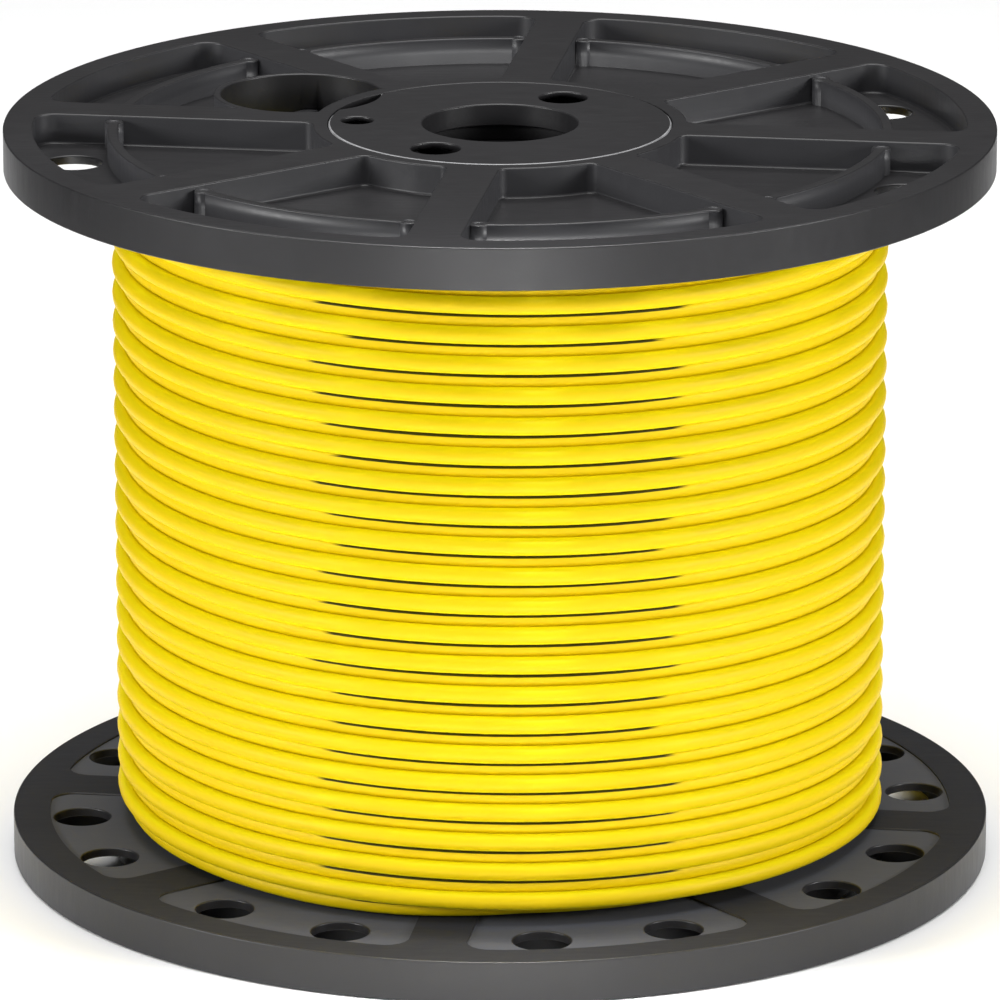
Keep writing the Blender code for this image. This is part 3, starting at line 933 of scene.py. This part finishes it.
def opening(azimuth, turn):
    """How far the rows have parted into pairs, from 0 at the sides to 1 at the front and back."""
    # Two sines of the row's number make the parted stretches unequal.
    row = round(turn)
    half = math.radians(PARTED_HALF + 3 * math.sin(2.3 * row) + 2 * math.sin(5.1 * row))
    low = math.cos(half + PARTED_BLUR)
    high = math.cos(half - PARTED_BLUR)
    return smooth(abs(math.cos(azimuth)), low, high)


def waver(azimuth, turn):
    """The small rise and fall of a row."""
    slow = SLOW_WAVER * math.sin(3 * azimuth + 0.8 * turn)
    quick = QUICK_WAVER * math.sin(7 * azimuth - 1.3 * turn)
    return slow + quick


def strand_points(leave, low_turn, high_turn, lift, radius_at):
    """A strand from its top to its bottom. Turns count up from where the outer end leaves."""
    count = round((high_turn - low_turn) * TURN_STEPS)
    points = []
    for step in range(count + 1):
        turn = high_turn + (low_turn - high_turn) * step / count
        azimuth = leave - math.tau * turn
        height = WIRE_LEVEL + lift(azimuth, turn) + ROW_PITCH * turn + waver(azimuth, turn)
        height = min(max(height, WIRE_LEVEL), WIRE_TOP)
        points.append(polar(radius_at(azimuth, turn), azimuth, height))
    return points


def dived(radius, turn, low, high):
    """The radius of a row that slips under its neighbours past its lowest or its highest turn."""
    depth = smooth(turn, high - DIVE_TURNS, high) + smooth(-turn, -low - DIVE_TURNS, -low)
    return radius + (DIVE_RADIUS - radius) * min(depth, 1)


def tube_mesh(points, radius, sides, name, bored=0):
    """A tube along points, closed at both ends, with a bore over its last points if asked."""
    path = np.array([tuple(point) for point in points])
    tangents = np.gradient(path, axis=0)
    tangents /= np.linalg.norm(tangents, axis=1, keepdims=True)
    across = np.cross(tangents, (0, 0, 1))
    across /= np.linalg.norm(across, axis=1, keepdims=True)
    up = np.cross(across, tangents)
    turns = np.linspace(0, math.tau, sides, endpoint=False)
    cosines = np.cos(turns)[None, :, None]
    sines = np.sin(turns)[None, :, None]
    circles = cosines * across[:, None] + sines * up[:, None]
    rings = path[:, None] + radius * circles
    if bored:
        bore = path[:, None] + CORE_BORE * circles
        rings = np.concatenate([rings, bore[: -bored - 1 : -1]])
    return skin(rings, name)


def skin(rings, name):
    """A closed mesh over rings of points, with a cap at both ends."""
    count, sides = rings.shape[:2]
    first = np.arange(count - 1)[:, None] * sides
    side = np.arange(sides)
    after = (side + 1) % sides
    above = first + sides
    quads = np.stack([first + side, first + after, above + after, above + side], axis=-1)
    faces = quads.reshape(-1, 4).tolist()
    faces.append(list(range(sides)))
    faces.append(list(range((count - 1) * sides, count * sides)))
    mesh = bpy.data.meshes.new(name)
    mesh.from_pydata(rings.reshape(-1, 3).tolist(), [], faces)
    bm = bmesh.new()
    bm.from_mesh(mesh)
    bpy.data.meshes.remove(mesh)
    return mesh_of(bm, name)


def dip(point, heading, bend, last, steps):
    """Points of a bend that starts level at a point and turns down to the last angle."""
    angles = [last * step / steps for step in range(steps + 1)]
    down = Vector((0, 0, -bend))
    return [
        point + heading * bend * math.sin(angle) + down * (1 - math.cos(angle)) for angle in angles
    ]


def bored_count(path):
    """How many of a path's last points lie in the conductor's bore."""
    return sum((path[-1] - point).length <= CORE_LENGTH for point in path)


def strands_mesh(path, name):
    """Nineteen twisted strands of a conductor along the end of a path."""
    path = path[-bored_count(path) + 1 :]
    joined = bmesh.new()
    for radius, count, first in STRAND_RINGS:
        for index in range(count):
            points = []
            run = 0.0
            for step, point in enumerate(path):
                ahead = path[min(step + 1, len(path) - 1)] - path[max(step - 1, 0)]
                tangent = ahead.normalized()
                across = tangent.cross(Vector((0, 0, 1))).normalized()
                up = across.cross(tangent)
                angle = first + math.tau * index / count + math.tau * run / STRAND_LAY
                points.append(point + radius * (across * math.cos(angle) + up * math.sin(angle)))
                if step + 1 < len(path):
                    run += (path[step + 1] - point).length
            strand = tube_mesh(points, STRAND_RADIUS * STRAND_SLACK, STRAND_SIDES, name)
            joined.from_mesh(strand)
            bpy.data.meshes.remove(strand)
    return mesh_of(joined, name, SHARP_STRANDS)


def add_winding(yellow, sunk_painted_shade):
    """The wire's inner layers, and both strands of its outer layer with the run to its end."""
    inner = turned(bead_profile(), RING_SIDES, "InnerLayers", SHARP_TURNS)
    placed("wire_inner_turns", inner, [yellow], ["wire_inner_layers"])

    hole = 2 * SPOKE_PHASE - (sector_middles()[TAIL_SECTOR] + TIE_SPREAD)
    leave = hole - math.acos(PROUD_RADIUS / TIE_CIRCLE)
    top_turn = (WIRE_TOP - WIRE_LEVEL) / ROW_PITCH
    # The proud strand stops at turn 0, so with -1 as its lowest it dives at the top only.
    proud = strand_points(
        leave, 0, top_turn + DIVE_TURNS,
        lambda azimuth, turn: 0,
        lambda azimuth, turn: dived(PROUD_RADIUS, turn, -1, top_turn + DIVE_TURNS),
    )
    heading = polar(1, leave + math.tau / 4)
    hole_run = math.sqrt(TIE_CIRCLE**2 - PROUD_RADIUS**2)
    bend_run = hole_run - TIE_RADIUS - TAIL_LEAD
    run = [heading * bend_run * step / RUN_STEPS for step in range(1, RUN_STEPS)]
    proud += [proud[-1] + shift for shift in run]
    bend_start = polar(PROUD_RADIUS, leave, WIRE_LEVEL) + heading * bend_run
    proud += dip(bend_start, heading, TAIL_BEND, TAIL_ANGLE, TAIL_STEPS)
    proud.append(proud[-1] + (proud[-1] - proud[-2]).normalized() * TAIL_TIP)
    mesh = tube_mesh(proud, WIRE_RADIUS, WIRE_SIDES, "ProudStrand", bored_count(proud))

    low_turn = -0.5 - DIVE_TURNS
    high_turn = top_turn - 0.5 + DIVE_TURNS
    sunk = strand_points(
        leave, low_turn, high_turn,
        lambda azimuth, turn: ROW_PITCH / 2 - PAIR_SHIFT * opening(azimuth, turn),
        lambda azimuth, turn: dived(
            SUNK_RADIUS - PAIR_SINK * opening(azimuth, turn), turn, low_turn, high_turn
        ),
    )
    under = tube_mesh(sunk, WIRE_RADIUS, WIRE_SIDES, "SunkStrand")
    under.polygons.foreach_set("material_index", [1] * len(under.polygons))
    joined = bmesh.new()
    joined.from_mesh(mesh)
    joined.from_mesh(under)
    layer = mesh_of(joined, "OuterLayer")
    nodes = ["wire_outer_layer", "wire_outer_end"]
    placed("wire_outer_turns", layer, [yellow, sunk_painted_shade], nodes)
    return proud


def start_path():
    """The inner end of the wire, from its first turn on the barrel down into the start hole."""
    hole = 2 * SPOKE_PHASE - START_AZIMUTH
    heading = -polar(1, hole + math.tau / 4)
    bend_start = polar(BARREL_RADIUS + GAP + WIRE_RADIUS, hole, WIRE_LEVEL) - heading * START_LEAD
    return dip(bend_start, heading, START_BEND, START_ANGLE, START_STEPS)


def add_wire_ends(yellow, bare, outer_path):
    """The wire's start, and the stranded conductor at both of its cut ends."""
    path = start_path()
    mesh = tube_mesh(path, WIRE_RADIUS, WIRE_SIDES, "StartEnd", bored_count(path))
    placed("wire_start", mesh, [yellow], ["wire_start_end"])
    ends = {"start": path, "outer": outer_path}
    for end, route in ends.items():
        mesh = strands_mesh(route, f"{end.title()}Strands")
        placed(f"wire_{end}_strands", mesh, [bare], [f"wire_{end}_core"])


def finish_fasteners(steel):
    """Bolts, nuts and washers keep their CAD shape."""
    for name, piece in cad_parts.items():
        if "bolt" in name or "nut" in name or "washer" in name:
            piece.material_slots[0].material = steel


# Studio


def stood(data, name, power, place, target):
    """Adds a lamp of a power that shines at a target."""
    data.energy = power
    lamp = bpy.data.objects.new(name, data)
    lamp.location = place
    lamp.rotation_euler = (Vector(target) - lamp.location).to_track_quat("-Z", "Y").to_euler()
    bpy.context.scene.collection.objects.link(lamp)


def add_paper():
    """A sheet of white paper for a floor."""
    bm = bmesh.new()
    sheet = Matrix.Diagonal((*SHEET_SIZE, 1, 1))
    bmesh.ops.create_grid(bm, x_segments=1, y_segments=1, size=0.5, matrix=sheet)
    floor = bpy.data.objects.new("floor", mesh_of(bm, "Floor"))
    floor.location.z = -GAP
    bpy.context.scene.collection.objects.link(floor)
    paper = principled(
        "WhitePaper", roughness=0.9, Base_Color=SHEET_COLOUR, Specular_IOR_Level=0.0
    )[0]
    floor.data.materials.append(paper)


def add_lamps():
    """Soft lamps round the reel, and two spots on the paper in front of it."""
    for name, (place, target, width, height, power) in LAMPS.items():
        data = bpy.data.lights.new(name, "AREA")
        data.shape = "RECTANGLE"
        data.size = width
        data.size_y = height
        stood(data, name, power, place, target)
    for name, (place, target, angle, power) in SPOTS.items():
        spot = bpy.data.lights.new(name, "SPOT")
        spot.spot_size = math.radians(angle)
        spot.spot_blend = SPOT_BLEND
        spot.shadow_soft_size = SPOT_SIZE
        stood(spot, name, power, place, target)


def add_surroundings():
    """Dim surroundings, brighter in front of the reel, which the camera sees as white."""
    world = bpy.data.worlds.new("Studio")
    bpy.context.scene.world = world
    world.use_nodes = True
    tree = world.node_tree
    shader = tree.nodes["Background"]
    shader.inputs["Color"].default_value = (1, 1, 1, 1)
    direction = tree.nodes.new("ShaderNodeTexCoord").outputs["Generated"]
    parts = tree.nodes.new("ShaderNodeSeparateXYZ")
    tree.links.new(direction, parts.inputs["Vector"])
    front = step_between(tree, parts.outputs["Y"], *SURROUNDINGS_TURN)
    surroundings = span(tree, front, *SURROUNDINGS)
    rays = tree.nodes.new("ShaderNodeLightPath")
    seen = tree.nodes.new("ShaderNodeMix")
    seen.inputs["B"].default_value = 1.0
    tree.links.new(rays.outputs["Is Camera Ray"], seen.inputs["Factor"])
    tree.links.new(surroundings, seen.inputs["A"])
    tree.links.new(seen.outputs["Result"], shader.inputs["Strength"])


def add_camera():
    """The camera at the photo's viewing angle, with colours shown as they are."""
    data = bpy.data.cameras.new("camera")
    data.lens = CAMERA_LENS
    data.sensor_width = CAMERA_SENSOR
    data.clip_end = CAMERA_REACH
    camera = bpy.data.objects.new("camera", data)
    rise = OVERALL_HEIGHT / 2 + CAMERA_DISTANCE * math.sin(CAMERA_ELEVATION)
    camera.location = polar(CAMERA_DISTANCE * math.cos(CAMERA_ELEVATION), 0, rise)
    camera.rotation_euler = (math.tau / 4 - CAMERA_TILT, 0, 0)
    bpy.context.scene.collection.objects.link(camera)
    bpy.context.scene.camera = camera
    bpy.context.scene.view_settings.view_transform = "Standard"


def build():
    """The whole scene over the loaded frame."""
    black, panel, face, painted_lit_wall, dark = [
        moulded_plastic(name, *look) for name, look in PLASTICS.items()
    ]
    yellow = wire_insulation("WireInsulation")
    sunk_painted_shade = wire_insulation("WireInsulationSunkPaintedShade", painted_shade=True)
    add_flanges(black, panel, face, painted_lit_wall, painted_highlight_edge())
    add_tubes(dark)
    outer_path = add_winding(yellow, sunk_painted_shade)
    add_wire_ends(yellow, copper(), outer_path)
    finish_fasteners(zinc_steel())
    add_paper()
    add_lamps()
    add_surroundings()
    add_camera()


build()
